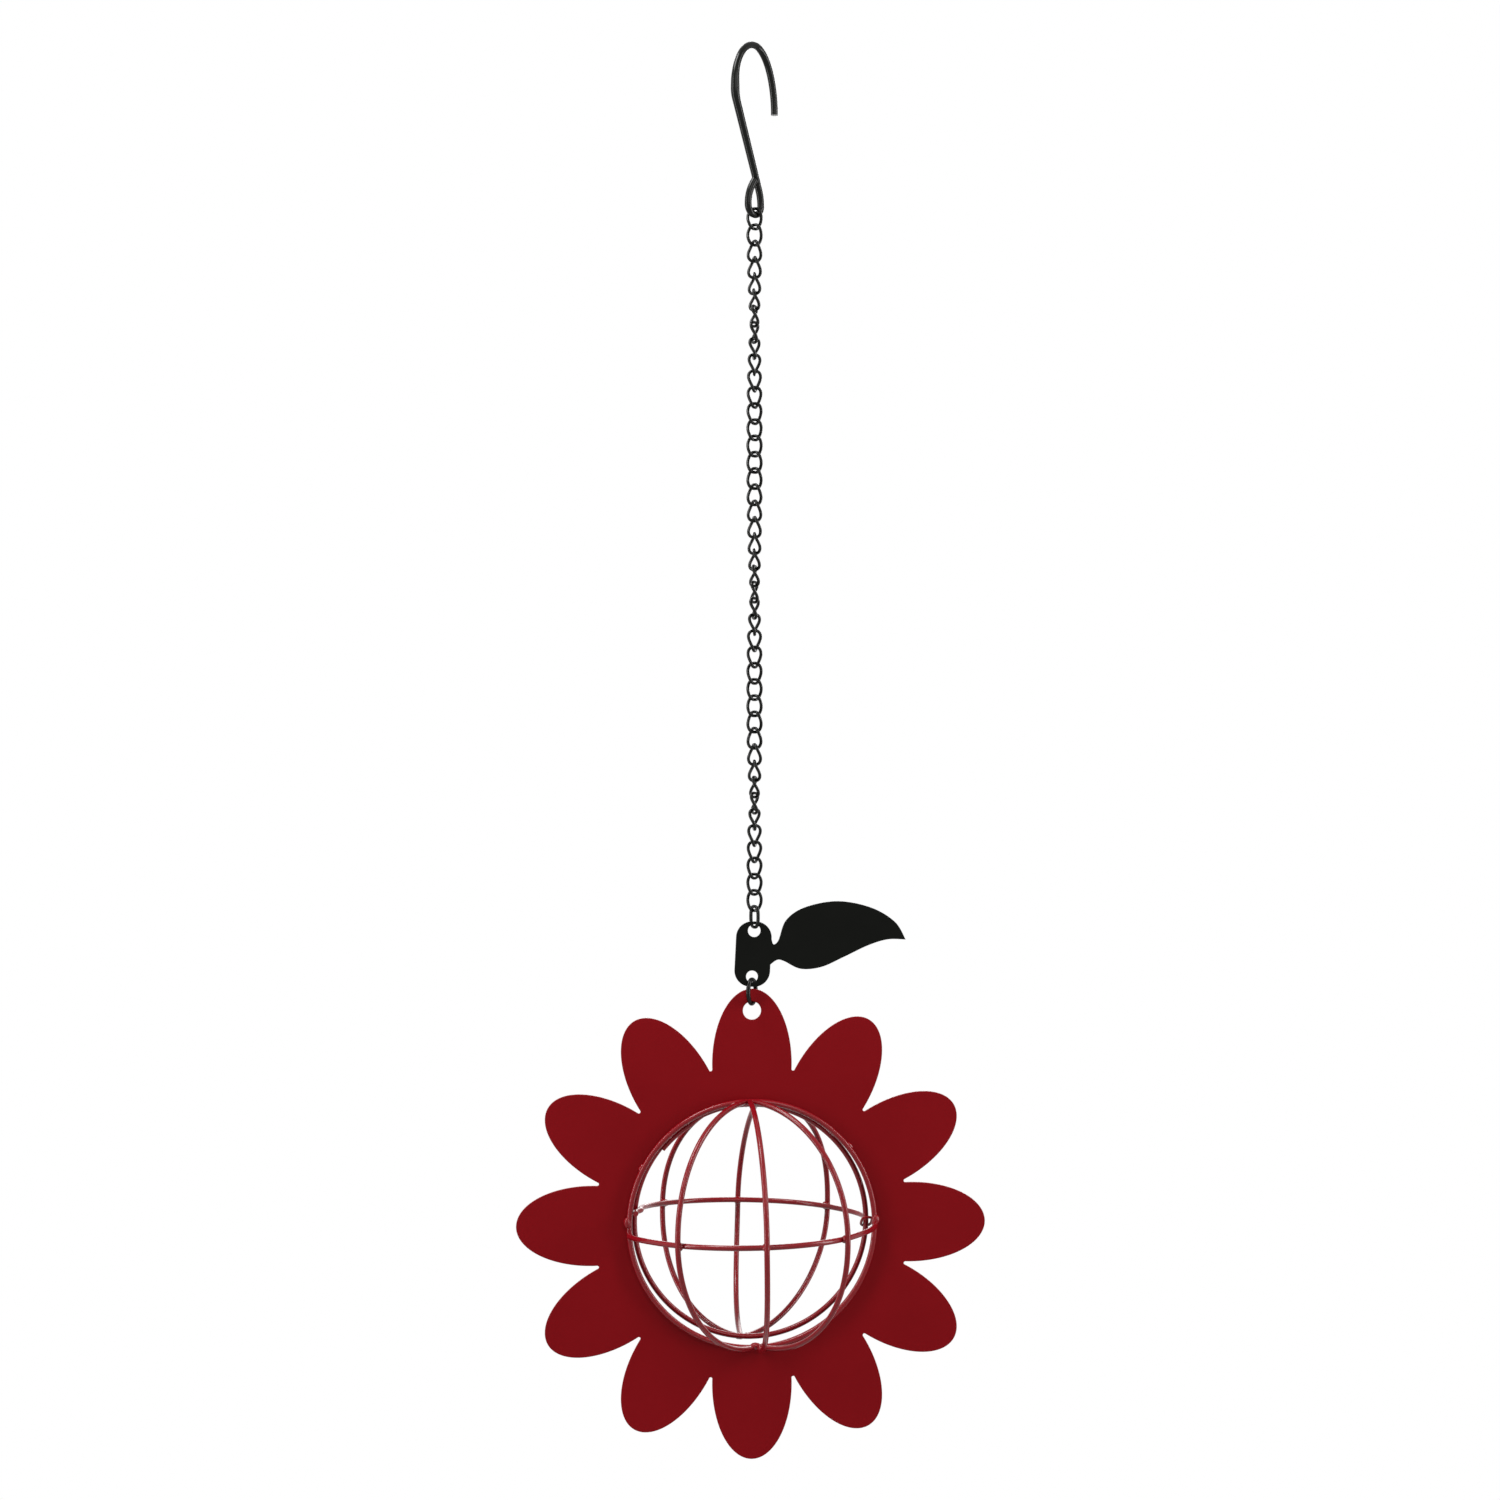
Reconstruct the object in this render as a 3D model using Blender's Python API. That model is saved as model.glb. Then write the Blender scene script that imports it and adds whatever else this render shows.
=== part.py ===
"""Hanging suet feeder: a steel flower with a round wire cage at its heart,
a leaf plate above it, a twisted-link chain and a wire hook.

Metres, +Z up. The front of the feeder faces -Y. The origin is the inside of
the hook's bend, where the feeder hangs on a branch or a nail.
"""
import math

import bpy

# Hook: one piece of wire bent in a single upright plane
HOOK_WIRE = 0.0026
HOOK_HALF_WIDTH = 0.0106
HOOK_ARCH = 0.0150
HOOK_TIP_OUT = 0.0112
HOOK_TIP_DROP = 0.0232
HOOK_SHOULDER_RADIUS = 0.012
HOOK_SHANK_LEAN = math.radians(22)
HOOK_PLANE_TURN = math.radians(45)
EYE_DROP = 0.0612
EYE_RADIUS = 0.0035
EYE_SIDE_RADIUS = 0.016
EYE_TAIL_RADIUS = 0.0266
EYE_TAIL_LEAN = math.radians(19.35)

# Chain: curb links, each twisted a quarter turn from bow to bow, above a flat
# last link that stands across the leaf plate
LINK_COUNT = 44
LINK_WIRE = 0.00115
LINK_PITCH = 0.00587
LINK_WIDTH = 0.0060
LINK_ROUNDNESS = 2.7
LINK_TWIST = math.radians(90)
FIRST_LINK_TURN = math.radians(3)
CHAIN_TURN = math.radians(-550)
CHAIN_TURN_LAG = math.radians(-22)
LAST_LINK_TURN = math.radians(-62)

# Leaf plate: laser-cut sheet, a tab with two holes and a leaf on one side
SHEET = 0.0010
TAB_WIDTH = 0.0129
TAB_CORNER = 0.0058
TAB_HOLE = 0.0045
TAB_LOWER_HOLE = 0.0042
TAB_HOLE_SPAN = 0.0166
TAB_UPPER_RIM = 0.0011
TAB_LOWER_RIM = 0.0016
LEAF_TILT = math.radians(2.86)
NECK_DROP = 0.0046
NECK_HEIGHT = 0.0056
NECK_REACH = 0.0016
NECK_CORNER = 0.0018
LEAF_LENGTH = 0.0472
LEAF_HEIGHT = 0.0251
LEAF_UPPER_SHARES = [(0.02, 0.31), (0.07, 0.60), (0.21, 0.80), (0.46, 0.91), (0.72, 0.84), (0.91, 0.65)]
LEAF_TIP_SHARES = (1.0, 0.40)
LEAF_LOWER_SHARES = [(0.86, 0.39), (0.71, 0.29), (0.53, 0.11), (0.36, -0.05), (0.20, -0.09), (0.07, 0.01)]

# Jump ring between the leaf plate and the flower
JUMP_WIRE = 0.0016
JUMP_INNER_LENGTH = 0.0072
JUMP_INNER_WIDTH = 0.0046
JUMP_TURN = math.radians(-30)

# Cage: two half balls of wire, one welded to the flower's front and one
# hinged behind it
CAGE_WIRE = 0.0020
FRONT_RING_RADIUS = 0.0444
BACK_RING_INSET = 0.0021
BACK_RING_BEHIND = 0.0090
FRONT_RIB_AZIMUTHS = {"left": math.radians(-40), "centre": math.radians(2.2), "right": math.radians(44.5)}
BACK_RIB_AZIMUTHS = {"left": math.radians(-46.8), "centre": math.radians(-2.2), "right": math.radians(47.5)}
FRONT_TOP_STEPS = {"left": -0.0018, "centre": -0.0010, "right": -0.0005}
FRONT_BOTTOM_STEPS = {"left": 0.0010, "centre": 0.0023, "right": 0.0036}
BACK_TOP_STEPS = {"left": -0.0012, "centre": 0.0038, "right": 0.0054}
BACK_BOTTOM_STEPS = {"left": -0.0037, "centre": -0.0034, "right": -0.0022}
STEP_POWER = 1.5
CROSSBAR_FLARE_START = math.radians(55)
FRONT_CROSSBAR_RISES = (-0.0034, -0.0002)
BACK_CROSSBAR_RISES = (0.0045, 0.0004)
RISE_POWER = 3
CATCH_REACH = 0.0005
CATCH_BEND_SHARE = 0.67

# Flower plate: laser-cut sheet with twelve petals round a large hole, whose
# edge the front ring covers
HEART_HOLE_INSET = 0.0006
PETAL_COUNT = 12
PETAL_CENTRE_OUT = 0.0141
PETAL_LENGTH = 0.0542
PETAL_SLOT = 0.0022
PETAL_SWEEP = math.radians(94)
HANGING_HOLE = 0.0066
HANGING_HOLE_RIM = 0.0046

# Hinge loop: a small closed wire loop behind the flower's heart hole
LOOP_WIRE = 0.0010
LOOP_PLAY = 0.00035
LOOP_DROP = 0.0006
LOOP_SLOPE = math.radians(29)

# Air between solids that touch on the real feeder
GAP = 0.0003

# Facets of the round work
LINK_POINTS = 16
RING_POINTS = 38
RIB_POINTS = 18
PETAL_POINTS = 13
ROOT_POINTS = 4


def clear_scene():
    """Empty the file of the objects that Blender starts with."""
    for item in list(bpy.data.objects):
        bpy.data.objects.remove(item, do_unlink=True)


def new_collection(name):
    """Add a collection to the scene."""
    group = bpy.data.collections.new(name)
    bpy.context.scene.collection.children.link(group)
    return group


def finish(name, colour, roughness, metallic):
    """A plain painted finish."""
    material = bpy.data.materials.new(name)
    material.use_nodes = True
    shader = material.node_tree.nodes["Principled BSDF"]
    shader.inputs["Base Color"].default_value = (*colour, 1.0)
    shader.inputs["Roughness"].default_value = roughness
    shader.inputs["Metallic"].default_value = metallic
    material.diffuse_color = (*colour, 1.0)
    return material


def wire_curve(name, points, diameter, closed, bevel_resolution=2):
    """Curve data for a round wire that runs through the points."""
    curve = bpy.data.curves.new(name, "CURVE")
    curve.dimensions = "3D"
    curve.bevel_depth = diameter / 2
    curve.bevel_resolution = bevel_resolution
    curve.use_fill_caps = True
    spline = curve.splines.new("POLY")
    spline.points.add(len(points) - 1)
    for target, (x, y, z) in zip(spline.points, points):
        target.co = (x, y, z, 1.0)
    spline.use_cyclic_u = closed
    return curve


def sheet_curve(name, outlines, thickness):
    """Curve data for a flat sheet: an outer outline and its holes."""
    curve = bpy.data.curves.new(name, "CURVE")
    curve.dimensions = "2D"
    curve.fill_mode = "BOTH"
    curve.extrude = thickness / 2
    for outline in outlines:
        spline = curve.splines.new("POLY")
        spline.points.add(len(outline) - 1)
        for target, (x, z) in zip(spline.points, outline):
            target.co = (x, z, 0.0, 1.0)
        spline.use_cyclic_u = True
    return curve


def place(name, curve, material, location, rotation=(0.0, 0.0, 0.0)):
    """Put one piece in the feeder, with its origin where it turns."""
    item = bpy.data.objects.new(name, curve)
    if not curve.materials:
        curve.materials.append(material)
    item.location = location
    item.rotation_euler = rotation
    FEEDER.objects.link(item)
    return item


def arc(centre, radius, start, end, count):
    """Points on a circle's arc, both ends included."""
    points = []
    for step in range(count):
        angle = start + (end - start) * step / (count - 1)
        points.append((centre[0] + radius * math.cos(angle), centre[1] + radius * math.sin(angle)))
    return points


def circle(centre, diameter, count):
    """Points round a hole."""
    points = arc(centre, diameter / 2, 0.0, math.tau, count + 1)
    return points[:-1]


def smooth(points, steps):
    """Points on the smooth curve that passes through the given ones."""
    curve = []
    last = len(points) - 1
    for index in range(last):
        before = points[max(index - 1, 0)]
        start = points[index]
        end = points[index + 1]
        after = points[min(index + 2, last)]
        for step in range(steps):
            t = step / steps
            curve.append(tuple(
                0.5 * (2 * q + (r - p) * t + (2 * p - 5 * q + 4 * r - s) * t ** 2 + (3 * q - p - 3 * r + s) * t ** 3)
                for p, q, r, s in zip(before, start, end, after)
            ))
    curve.append(points[last])
    return curve


def squircle(half_width, half_length, roundness, count):
    """Points on a superellipse, between an ellipse and a rounded box."""
    points = []
    for step in range(count):
        angle = math.tau * step / count
        across = math.copysign(abs(math.cos(angle)) ** (2 / roundness), math.cos(angle))
        along = math.copysign(abs(math.sin(angle)) ** (2 / roundness), math.sin(angle))
        points.append((half_width * across, half_length * along))
    return points


def hook_points():
    """The hook's wire, from its free tip over the bend and down to the eye."""
    top = HOOK_WIRE / 2
    lean = HOOK_SHANK_LEAN
    route = []
    for x, z in arc((0.0, 0.0), 1.0, 0.0, math.pi / 2, 9):
        route.append((HOOK_TIP_OUT * x, top - HOOK_TIP_DROP * (1 - z)))
    for x, z in arc((0.0, 0.0), 1.0, math.pi / 2, math.pi, 8)[1:]:
        route.append((HOOK_HALF_WIDTH * x, top - HOOK_ARCH * (1 - z)))
    eye = top - EYE_DROP + EYE_RADIUS
    side = EYE_RADIUS - EYE_SIDE_RADIUS
    shank_end = (side + EYE_SIDE_RADIUS * math.cos(lean), eye + EYE_SIDE_RADIUS * math.sin(lean))
    bend = -HOOK_HALF_WIDTH + HOOK_SHOULDER_RADIUS
    shoulder_end = bend - HOOK_SHOULDER_RADIUS * math.cos(lean)
    shoulder = shank_end[1] + (shank_end[0] - shoulder_end) / math.tan(lean) + HOOK_SHOULDER_RADIUS * math.sin(lean)
    route += arc((bend, shoulder), HOOK_SHOULDER_RADIUS, math.pi, math.pi + lean, 5)
    route += arc((side, eye), EYE_SIDE_RADIUS, lean, 0.0, 4)
    route += arc((0.0, eye), EYE_RADIUS, 0.0, -math.pi, 11)[1:]
    tail = EYE_TAIL_RADIUS - EYE_RADIUS
    route += arc((tail, eye), EYE_TAIL_RADIUS, math.pi, math.pi - EYE_TAIL_LEAN, 5)[1:]
    return [(x, 0.0, z) for x, z in route]


def chain_pivot(index):
    """Height of the crossing above link number index, counted from 1."""
    return HOOK_WIRE - EYE_DROP + GAP / 2 - LINK_PITCH * (index - 1)


def link_turn(index):
    """How far link number index is turned about the chain's own line."""
    if index == LINK_COUNT:
        return LAST_LINK_TURN
    share = (index - 1) / (LINK_COUNT - 2)
    return FIRST_LINK_TURN + CHAIN_TURN * share - CHAIN_TURN_LAG * math.sin(math.pi * share ** 2)


def link_points(twist):
    """One link, hung from its upper crossing at the origin, its bows twisted
    against each other."""
    half_width = (LINK_WIDTH - LINK_WIRE) / 2
    half_length = (LINK_PITCH + LINK_WIRE + GAP) / 2
    points = []
    for across, along in squircle(half_width, half_length, LINK_ROUNDNESS, LINK_POINTS):
        turn = -twist / 2 * math.sin(math.pi / 2 * along / half_length)
        points.append((across * math.cos(turn), across * math.sin(turn), along - LINK_PITCH / 2))
    return points


def leaf_outlines():
    """The leaf plate's edge and holes, hung from the upper hole's top edge."""
    half = TAB_WIDTH / 2
    upper = (0.0, -(TAB_HOLE + GAP) / 2 + GAP)
    lower = (0.0, upper[1] - TAB_HOLE_SPAN)
    top = upper[1] + TAB_HOLE / 2 + TAB_UPPER_RIM
    bottom = lower[1] - TAB_LOWER_HOLE / 2 - TAB_LOWER_RIM
    inset = half - TAB_CORNER
    neck_top = upper[1] - NECK_DROP
    neck_bottom = neck_top - NECK_HEIGHT
    leaf_start = half + NECK_REACH
    leaf_base = neck_top - LEAF_HEIGHT * LEAF_UPPER_SHARES[0][1] + NECK_REACH

    def leaf_point(shares):
        return (leaf_start + LEAF_LENGTH * shares[0], leaf_base + LEAF_HEIGHT * shares[1])

    edge = arc((inset, bottom + TAB_CORNER), TAB_CORNER, 0.0, -math.pi / 2, 8)
    edge += arc((-inset, bottom + TAB_CORNER), TAB_CORNER, -math.pi / 2, -math.pi, 8)
    edge += arc((-inset, top - TAB_CORNER), TAB_CORNER, math.pi, math.pi / 2, 8)
    edge += arc((inset, top - TAB_CORNER), TAB_CORNER, math.pi / 2, 0.0, 8)
    tip = leaf_point(LEAF_TIP_SHARES)
    above = [(half, neck_top + NECK_CORNER), (half + NECK_REACH / 2, neck_top)]
    above += [leaf_point(pair) for pair in LEAF_UPPER_SHARES]
    below = [leaf_point(pair) for pair in LEAF_LOWER_SHARES]
    below += [(leaf_start + NECK_REACH / 2, neck_bottom), (half, neck_bottom - NECK_CORNER)]
    edge += smooth(above + [tip], 4)
    edge += smooth([tip] + below, 4)[1:]
    return [edge, circle(upper, TAB_HOLE, 20), circle(lower, TAB_LOWER_HOLE, 20)]


def flower_outlines():
    """The flower's edge, its heart hole and its hanging hole, hung from the
    top edge of the hanging hole."""
    hole_radius = FRONT_RING_RADIUS - HEART_HOLE_INSET
    centre_radius = hole_radius + PETAL_CENTRE_OUT
    drop = centre_radius + PETAL_LENGTH / 2 - HANGING_HOLE_RIM + GAP / 2
    spacing = math.tau / PETAL_COUNT
    petal_half_width = centre_radius * math.tan(spacing / 2) - PETAL_SLOT / 2
    edge = []
    for petal in range(PETAL_COUNT):
        heading = math.pi / 2 - spacing * petal
        along = (math.cos(heading), math.sin(heading))
        across = (math.sin(heading), -math.cos(heading))
        ends = []
        for step in range(PETAL_POINTS):
            sweep = PETAL_SWEEP * (2 * step / (PETAL_POINTS - 1) - 1)
            out = centre_radius + PETAL_LENGTH / 2 * math.cos(sweep)
            side = petal_half_width * math.sin(sweep)
            edge.append((out * along[0] + side * across[0], out * along[1] + side * across[1] - drop))
            ends.append((out, side))
        out, side = ends[-1]
        root_radius = out * math.sin(spacing / 2) - side * math.cos(spacing / 2)
        root_centre = out * math.cos(spacing / 2) + side * math.sin(spacing / 2)
        middle = heading - spacing / 2
        for step in range(1, ROOT_POINTS):
            angle = math.pi / 2 + math.pi * step / ROOT_POINTS
            inward = root_centre + root_radius * math.cos(angle)
            sideways = -root_radius * math.sin(angle)
            edge.append((
                inward * math.cos(middle) + sideways * math.sin(middle),
                inward * math.sin(middle) - sideways * math.cos(middle) - drop,
            ))
    hanging = (0.0, (GAP - HANGING_HOLE) / 2)
    return [edge, circle((0.0, -drop), 2 * hole_radius, 60), circle(hanging, HANGING_HOLE, 20)], drop


def ring_points(radius):
    """A cage ring round its own centre."""
    return [(x, 0.0, z) for x, z in circle((0.0, 0.0), 2 * radius, RING_POINTS)]


def rib_points(radius, side, azimuth, top_step, bottom_step):
    """A half-round rib from pole to pole, its ends butted against the ring.
    side is -1 for the front half. The steps set the ends apart sideways, and
    the rib leans over to them from its middle."""
    stand_off = CAGE_WIRE / 2 * (1 + abs(math.sin(azimuth))) + GAP
    reach = math.acos(stand_off / radius / math.cos(azimuth))
    points = []
    for step in range(RIB_POINTS):
        latitude = reach * (2 * step / (RIB_POINTS - 1) - 1)
        pole_step = top_step if latitude > 0 else bottom_step
        out = radius * math.cos(latitude)
        x = out * math.sin(azimuth) + pole_step * abs(math.sin(latitude)) ** STEP_POWER
        points.append((x, side * out * math.cos(azimuth), radius * math.sin(latitude)))
    return points


def crossbar_points(ring_radius, side, rises, hinge_side_only):
    """A half-round bar that lies inside the ribs and flares out to its ring.
    The rises are those of its left and right ends over its level middle.
    With hinge_side_only it flares on the right alone, and its left end goes
    straight on through the ring."""
    inside = ring_radius - CAGE_WIRE - GAP
    points = []
    for step in range(RIB_POINTS):
        heading = math.pi / 2 * (2 * step / (RIB_POINTS - 1) - 1)
        flare = max(0.0, (abs(heading) - CROSSBAR_FLARE_START) / (math.pi / 2 - CROSSBAR_FLARE_START))
        if hinge_side_only and heading < 0:
            flare = 0.0
        out = inside + (ring_radius - inside) * flare ** 2 * (3 - 2 * flare)
        share = 0.5 + heading / math.pi
        height = rises[0] * (1 - share) ** RISE_POWER + rises[1] * share ** RISE_POWER
        points.append([out * math.sin(heading), side * out * math.cos(heading), height])
    stand_off = side * (CAGE_WIRE / 2 + GAP)
    points[-1][1] = stand_off
    if not hinge_side_only:
        points[0][1] = stand_off
    return points


clear_scene()
FEEDER = new_collection("suet_feeder")

BLACK = finish("black_powder_coat", (0.010, 0.011, 0.009), 0.42, 0.0)
RED = finish("red_powder_coat", (0.205, 0.008, 0.011), 0.45, 0.0)
RED_WIRE = finish("red_wire_coat", (0.260, 0.026, 0.034), 0.38, 0.0)

# Hook
place(
    "hook",
    wire_curve("hook_wire", hook_points(), HOOK_WIRE, False),
    BLACK,
    (0.0, 0.0, 0.0),
    (0.0, 0.0, HOOK_PLANE_TURN),
)

# Chain. The first link swings about the middle of the eye's thicker wire,
# and each other link where it crosses the one above
eye_hinge = bpy.data.objects.new("eye_hinge", None)
eye_hinge.location = (0.0, 0.0, HOOK_WIRE / 2 - EYE_DROP)
FEEDER.objects.link(eye_hinge)
link = wire_curve("curb_link", link_points(LINK_TWIST), LINK_WIRE, True, bevel_resolution=1)
last_link = wire_curve("last_link", link_points(0.0), LINK_WIRE, True, bevel_resolution=1)
for number in range(1, LINK_COUNT + 1):
    item = place(
        f"chain_link_{number:02d}",
        last_link if number == LINK_COUNT else link,
        BLACK,
        (0.0, 0.0, chain_pivot(number)),
        (0.0, 0.0, link_turn(number)),
    )
    if number == 1:
        item.location.z -= eye_hinge.location.z
        item.parent = eye_hinge

# Leaf plate, hung on the last link. It tilts with the weight of its leaf
UPRIGHT = (math.pi / 2, 0.0, 0.0)
leaf_pivot = chain_pivot(LINK_COUNT + 1)
place(
    "leaf_plate",
    sheet_curve("leaf_sheet", leaf_outlines(), SHEET),
    BLACK,
    (0.0, 0.0, leaf_pivot),
    (math.pi / 2, LEAF_TILT, 0.0),
)

# Jump ring, through the leaf plate's lower hole
lower_hole_drop = (TAB_HOLE - GAP) / 2 + TAB_HOLE_SPAN
seat_x = -lower_hole_drop * math.sin(LEAF_TILT)
seat_z = leaf_pivot - lower_hole_drop * math.cos(LEAF_TILT) - TAB_LOWER_HOLE / 2
jump_pivot = seat_z + GAP / 2
jump_half_width = (JUMP_INNER_WIDTH + JUMP_WIRE) / 2
jump_half_length = (JUMP_INNER_LENGTH + JUMP_WIRE) / 2
jump_centre = GAP / 2 - JUMP_INNER_LENGTH / 2
place(
    "jump_ring",
    wire_curve(
        "jump_ring_wire",
        [(0.0, y, z + jump_centre) for y, z in squircle(jump_half_width, jump_half_length, 2.0, 20)],
        JUMP_WIRE,
        True,
    ),
    BLACK,
    (seat_x, 0.0, jump_pivot),
    (0.0, 0.0, JUMP_TURN),
)

# Flower plate, hung on the jump ring
outlines, heart_drop = flower_outlines()
flower_pivot = jump_pivot - JUMP_INNER_LENGTH + GAP
place(
    "flower_plate",
    sheet_curve("flower_sheet", outlines, SHEET),
    RED,
    (seat_x, 0.0, flower_pivot),
    UPRIGHT,
)

# Front half of the cage, welded to the flower
heart_z = flower_pivot - heart_drop
front_y = -SHEET / 2 - GAP - CAGE_WIRE / 2
front = (seat_x, front_y, heart_z)
place("front_ring", wire_curve("front_ring_wire", ring_points(FRONT_RING_RADIUS), CAGE_WIRE, True), RED_WIRE, front)
for side_name, azimuth in FRONT_RIB_AZIMUTHS.items():
    rib = rib_points(
        FRONT_RING_RADIUS, -1, azimuth, FRONT_TOP_STEPS[side_name], FRONT_BOTTOM_STEPS[side_name]
    )
    name = f"front_rib_{side_name}"
    place(name, wire_curve(f"{name}_wire", rib, CAGE_WIRE, False), RED_WIRE, front)
bar = crossbar_points(FRONT_RING_RADIUS, -1, FRONT_CROSSBAR_RISES, False)
place("front_crossbar", wire_curve("front_crossbar_wire", bar, CAGE_WIRE, False), RED_WIRE, front)

# Back half of the cage, which swings about its ring's right-hand side
back_radius = FRONT_RING_RADIUS - BACK_RING_INSET
back_y = front_y + BACK_RING_BEHIND
hinge = bpy.data.objects.new("back_hinge", None)
hinge.location = (seat_x + back_radius, back_y, heart_z)
FEEDER.objects.link(hinge)
FROM_HINGE = (-back_radius, 0.0, 0.0)


def place_back(name, points, closed):
    """Put one piece of the back half on the hinge."""
    item = place(name, wire_curve(f"{name}_wire", points, CAGE_WIRE, closed), RED_WIRE, FROM_HINGE)
    item.parent = hinge
    return item


place_back("back_ring", ring_points(back_radius), True)
for side_name, azimuth in BACK_RIB_AZIMUTHS.items():
    rib = rib_points(back_radius, 1, azimuth, BACK_TOP_STEPS[side_name], BACK_BOTTOM_STEPS[side_name])
    place_back(f"back_rib_{side_name}", rib, False)
bar = crossbar_points(back_radius, 1, BACK_CROSSBAR_RISES, True)
catch_radius = FRONT_RING_RADIUS - CAGE_WIRE - GAP
catch_z = bar[0][2]
catch_points = [
    (-catch_radius, front_y - back_y - CATCH_REACH, catch_z),
    (-catch_radius, (front_y - back_y) * CATCH_BEND_SHARE, catch_z),
    (bar[0][0], -CAGE_WIRE, catch_z),
]
place_back("back_crossbar", catch_points + bar, False)

# Hinge loop, welded to the back of the flower beside the heart hole
loop_front = SHEET / 2 + GAP + LOOP_WIRE / 2
loop_back = back_y + CAGE_WIRE / 2 + LOOP_PLAY + LOOP_WIRE / 2
loop_half_width = CAGE_WIRE / 2 + LOOP_PLAY + LOOP_WIRE / 2
loop_half_length = (loop_back - loop_front) / 2
loop = [
    (x, y, -y * math.tan(LOOP_SLOPE)) for x, y in squircle(loop_half_width, loop_half_length, 3.0, 20)
]
place(
    "hinge_loop",
    wire_curve("hinge_loop_wire", loop, LOOP_WIRE, True),
    RED_WIRE,
    (seat_x + back_radius, (loop_front + loop_back) / 2, heart_z - LOOP_DROP),
)
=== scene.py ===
"""Hanging suet feeder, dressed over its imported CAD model."""
import math

import bpy
from mathutils import Matrix, Vector


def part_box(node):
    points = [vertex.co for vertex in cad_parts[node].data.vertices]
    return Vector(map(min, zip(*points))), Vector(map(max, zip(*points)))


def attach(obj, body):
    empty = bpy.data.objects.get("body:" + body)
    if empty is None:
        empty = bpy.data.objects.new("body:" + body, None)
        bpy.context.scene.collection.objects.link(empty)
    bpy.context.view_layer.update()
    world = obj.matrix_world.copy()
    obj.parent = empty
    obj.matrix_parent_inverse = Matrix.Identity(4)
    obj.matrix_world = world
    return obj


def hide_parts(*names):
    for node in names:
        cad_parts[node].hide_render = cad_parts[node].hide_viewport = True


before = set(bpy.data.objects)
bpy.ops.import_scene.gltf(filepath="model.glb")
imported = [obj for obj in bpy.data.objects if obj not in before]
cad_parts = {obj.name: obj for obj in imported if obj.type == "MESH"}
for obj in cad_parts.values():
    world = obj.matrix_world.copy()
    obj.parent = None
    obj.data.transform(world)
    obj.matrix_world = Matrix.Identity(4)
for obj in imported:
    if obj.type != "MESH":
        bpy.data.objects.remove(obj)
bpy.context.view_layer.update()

# Studio. The feeder hangs level with the camera in front of a plain white
# ground, in the soft light of large white boxes. The camera stands a little
# to the left of the flower's own axis.
AIM_FROM_HEART = Vector((-0.0007, 0.0, 0.1713))
VIEW_TURN = math.radians(-4.3)
VIEW_DISTANCE = 0.9485
SENSOR_MM = 36.0
LENS_MM = 62.95
flower_low, flower_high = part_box("flower_plate")
heart = (Vector(flower_low) + Vector(flower_high)) / 2
aim = heart + AIM_FROM_HEART
towards_camera = Vector((math.sin(VIEW_TURN), -math.cos(VIEW_TURN), 0.0))
bpy.ops.object.camera_add(
    location=aim + VIEW_DISTANCE * towards_camera, rotation=(math.pi / 2, 0.0, VIEW_TURN)
)
camera = bpy.context.object
camera.data.sensor_width = SENSOR_MM
camera.data.lens = LENS_MM
bpy.context.scene.camera = camera
bpy.context.scene.view_settings.view_transform = "Standard"

# Each light box's place from the aim in metres, its width, height and watts
for box_name, place, width, height, power in [
    ("left_box", (-0.95, -0.33, 0.15), 0.20, 1.1, 8.5),
    ("right_box", (0.95, -0.33, 0.15), 0.20, 1.1, 9.5),
    ("top_box", (-0.45, -0.20, 0.85), 0.4, 0.4, 9.0),
    ("front_box", (0.35, -1.2, 0.65), 0.5, 0.5, 3.5),
    ("back_box", (0.30, 1.20, 0.45), 0.9, 0.9, 9.0),
]:
    bpy.ops.object.light_add(type="AREA", location=aim + Vector(place))
    lamp = bpy.context.object
    lamp.name = box_name
    lamp.data.shape = "RECTANGLE"
    lamp.data.size = width
    lamp.data.size_y = height
    lamp.data.energy = power
    lamp.rotation_euler = (aim - lamp.location).to_track_quat("-Z", "Y").to_euler()


def tint(code):
    """Turn an sRGB hex value into the linear colour that a shader takes."""
    shares = [int(code[start:start + 2], 16) / 255 for start in (1, 3, 5)]
    linear = [share / 12.92 if share <= 0.04045 else ((share + 0.055) / 1.055) ** 2.4 for share in shares]
    return linear + [1.0]


def add_node(tree, kind, values=(), feeds=(), **settings):
    """Add a node, set its sockets and options, and link what feeds it."""
    item = tree.nodes.new(kind)
    for option, value in settings.items():
        setattr(item, option, value)
    for socket, value in values:
        item.inputs[socket].default_value = value
    for socket, source in feeds:
        tree.links.new(source, item.inputs[socket])
    return item


# The ground is pure white to the eye and in reflections, and a soft daylight
# to everything that it lights
DAYLIGHT = 0.25
WHITE = 1.0
world = bpy.data.worlds.new("white_ground")
world.use_nodes = True
bpy.context.scene.world = world
air = world.node_tree
air.nodes.clear()
ray = add_node(air, "ShaderNodeLightPath")
seen = add_node(
    air, "ShaderNodeMath", feeds=[(0, ray.outputs["Is Camera Ray"]), (1, ray.outputs["Is Glossy Ray"])],
    operation="MAXIMUM",
)
seen = add_node(
    air, "ShaderNodeMath", feeds=[(0, seen.outputs[0]), (1, ray.outputs["Is Transmission Ray"])],
    operation="MAXIMUM",
)
daylight = add_node(air, "ShaderNodeBackground", [("Color", tint("#FFFFFF")), ("Strength", DAYLIGHT)])
ground = add_node(air, "ShaderNodeBackground", [("Color", tint("#FFFFFF")), ("Strength", WHITE)])
choice = add_node(
    air, "ShaderNodeMixShader",
    feeds=[(0, seen.outputs[0]), (1, daylight.outputs[0]), (2, ground.outputs[0])],
)
add_node(air, "ShaderNodeOutputWorld", feeds=[("Surface", choice.outputs[0])])

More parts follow.
